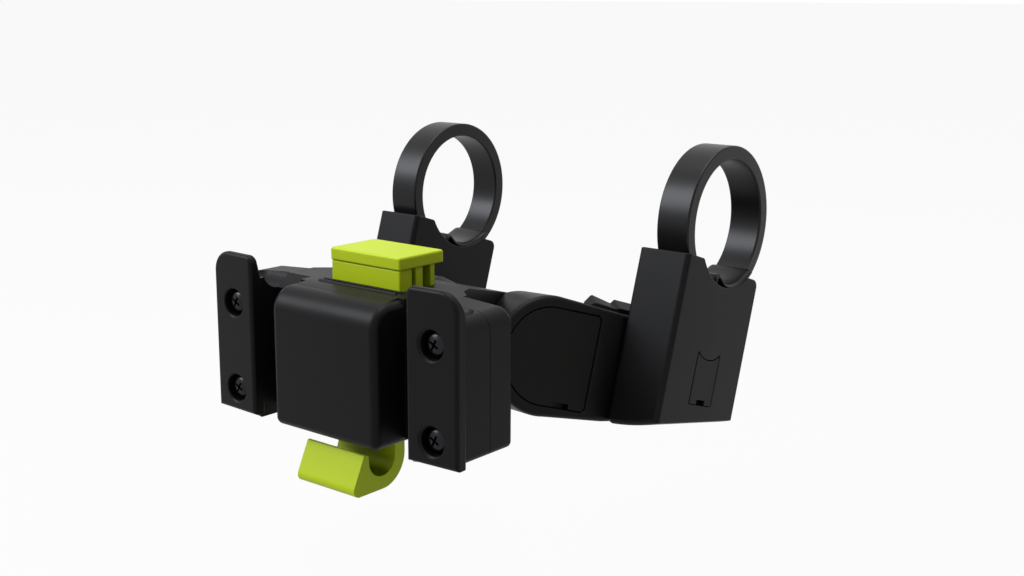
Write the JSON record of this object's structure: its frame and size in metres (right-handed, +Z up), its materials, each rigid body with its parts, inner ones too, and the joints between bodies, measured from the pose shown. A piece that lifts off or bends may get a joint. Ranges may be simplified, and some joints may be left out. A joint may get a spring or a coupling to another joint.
{
  "type": "bicycle handlebar bag mount",
  "caption": "Handlebar bag mount: two ring clamps on splayed hinged arms carry a head with flange rails, a square catch housing, a push button and a J hook.",
  "frame": {"origin": "On the handlebar's axis, midway between the two clamps.", "axes": "+X along the handlebar, +Y towards the rider, +Z up; the bag hangs on the -Y side."},
  "size_m": [0.102, 0.1124, 0.0746],
  "materials": {
    "black_plastic": "satin moulded black",
    "band_plastic": "smooth moulded black",
    "cover_plastic": "satin moulded black",
    "lime_plastic": "smooth lime green",
    "black_steel": "blackened steel",
    "zinc_steel": "zinc plated",
    "spring_steel": "drawn wire"
  },
  "bodies": {
    "head": {"front_shell": "black_plastic", "head_screw_1_left": "black_steel", "head_screw_1_right": "black_steel", "head_screw_2_left": "black_steel", "head_screw_2_right": "black_steel", "hinge_bolt_left": "black_steel", "hinge_bolt_right": "black_steel", "hinge_nut_left": "zinc_steel", "hinge_nut_right": "zinc_steel", "rear_shell": "black_plastic", "return_spring": "spring_steel"},
    "slider": {"slider": "lime_plastic"},
    "arm_left": {"arm_left": "black_plastic", "hinge_washer_left": "zinc_steel", "hinge_cover_left": "cover_plastic", "clamp_body_left": "black_plastic", "band_left": "band_plastic", "tension_screw_left": "black_steel", "tension_nut_left": "zinc_steel", "side_bolt_left": "black_steel", "side_nut_left": "zinc_steel", "side_cover_left": "cover_plastic"},
    "arm_right": {"arm_right": "black_plastic", "hinge_washer_right": "zinc_steel", "hinge_cover_right": "cover_plastic", "clamp_body_right": "black_plastic", "band_right": "band_plastic", "tension_screw_right": "black_steel", "tension_nut_right": "zinc_steel", "side_bolt_right": "black_steel", "side_nut_right": "zinc_steel", "side_cover_right": "cover_plastic"}
  },
  "joints": [
    {"name": "catch_slide", "type": "slide", "parent": "head", "child": "slider", "axis": [0, 0, -1], "range_m": [0, 0.0045], "stiffness_N_per_m": 800, "springref_m": -0.002, "deforming": ["return_spring"]},
    {"name": "hinge_left", "type": "hinge", "parent": "head", "child": "arm_left", "pos_m": [-0.0288, -0.047, -0.02811], "axis": [0.9191, 0.3755, -0.1191], "range_deg": [-20, 20]},
    {"name": "hinge_right", "type": "hinge", "parent": "head", "child": "arm_right", "pos_m": [0.0288, -0.047, -0.02811], "axis": [0.9191, -0.3755, 0.1191], "range_deg": [-20, 20]}
  ]
}
